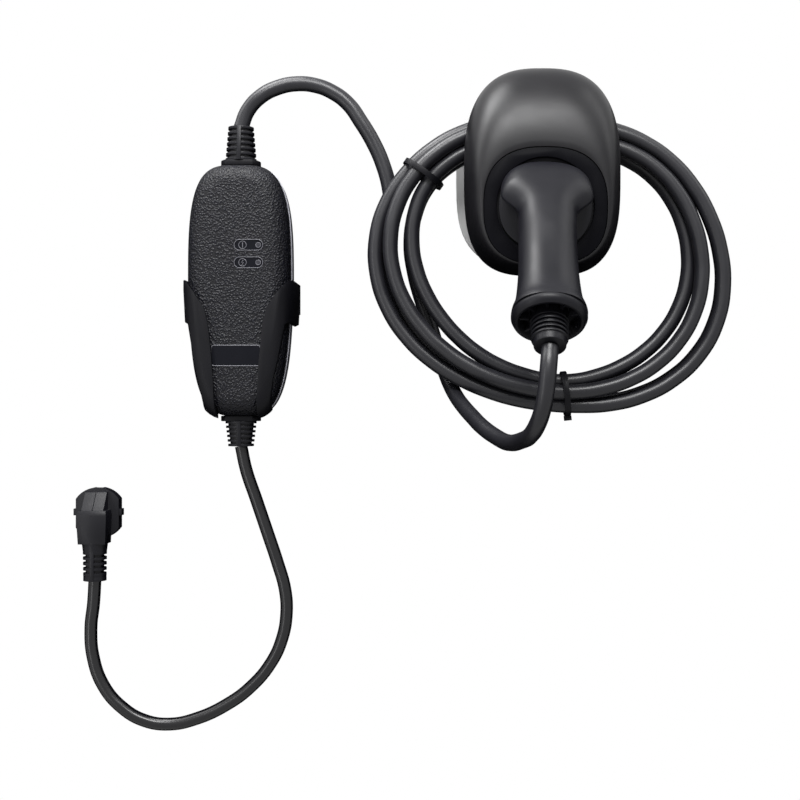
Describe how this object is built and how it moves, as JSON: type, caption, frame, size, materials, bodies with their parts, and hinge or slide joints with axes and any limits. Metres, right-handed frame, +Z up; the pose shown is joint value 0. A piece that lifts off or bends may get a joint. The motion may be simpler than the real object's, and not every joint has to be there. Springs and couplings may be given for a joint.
{
  "type": "wall-hung portable ev charger",
  "caption": "Portable vehicle charger put away on a wall: slim control box in a cradle, mains lead with plug, coiled cable and charging gun on a domed holster.",
  "frame": {"origin": "centre of the holster's four wall screw holes, on the wall plane", "axes": "+Z up, +Y into the wall, +X to the right as seen from the front"},
  "size_m": [0.5009, 0.1872, 0.4954],
  "materials": {
    "grained_black": "pebbled, leather-like grain",
    "satin_black": "satin",
    "smooth_black": "smooth",
    "matte_black": "matte",
    "rubber_black": "moulded",
    "cable_black": "smooth cable sheath",
    "back_grey": "matte",
    "light_pipe": "clear moulding, unlit",
    "nickel": "nickel plated",
    "steel": "zinc plated",
    "board_green": "circuit board",
    "component": "moulded case"
  },
  "bodies": {
    "root": {"box_front_cover": "grained_black", "box_rear_cover": "satin_black", "box_seal": "rubber_black", "box_screws": "steel", "name_panel": "smooth_black", "power_window": "smooth_black", "charge_window": "smooth_black", "power_light_pipe": "light_pipe", "charge_light_pipe": "light_pipe", "upper_gland": "matte_black", "upper_boot": "rubber_black", "lower_gland": "matte_black", "lower_boot": "rubber_black", "control_board": "board_green", "relays": "component", "current_sensor": "component", "power_module": "component", "terminal_blocks": "component", "wall_cradle": "matte_black", "mains_lead": "cable_black", "plug_body": "rubber_black", "plug_pin_carrier": "matte_black", "plug_pins": "nickel", "plug_earth_strips": "nickel", "charge_lead_upper": "cable_black", "cable_coil": "cable_black", "charge_lead_lower": "cable_black", "cable_tie_upper": "matte_black", "cable_tie_lower": "matte_black", "holster_back_plate": "back_grey", "holster_neck": "matte_black", "holster_dome": "satin_black", "holster_bezel": "matte_black", "holster_socket_cup": "matte_black", "holster_screws": "steel", "gun_handle": "satin_black", "gun_end_cap": "satin_black", "gun_boot": "rubber_black", "gun_nose": "matte_black", "gun_contact_carrier": "matte_black", "gun_contacts": "nickel", "gun_cap_screws": "steel"}
  },
  "joints": []
}
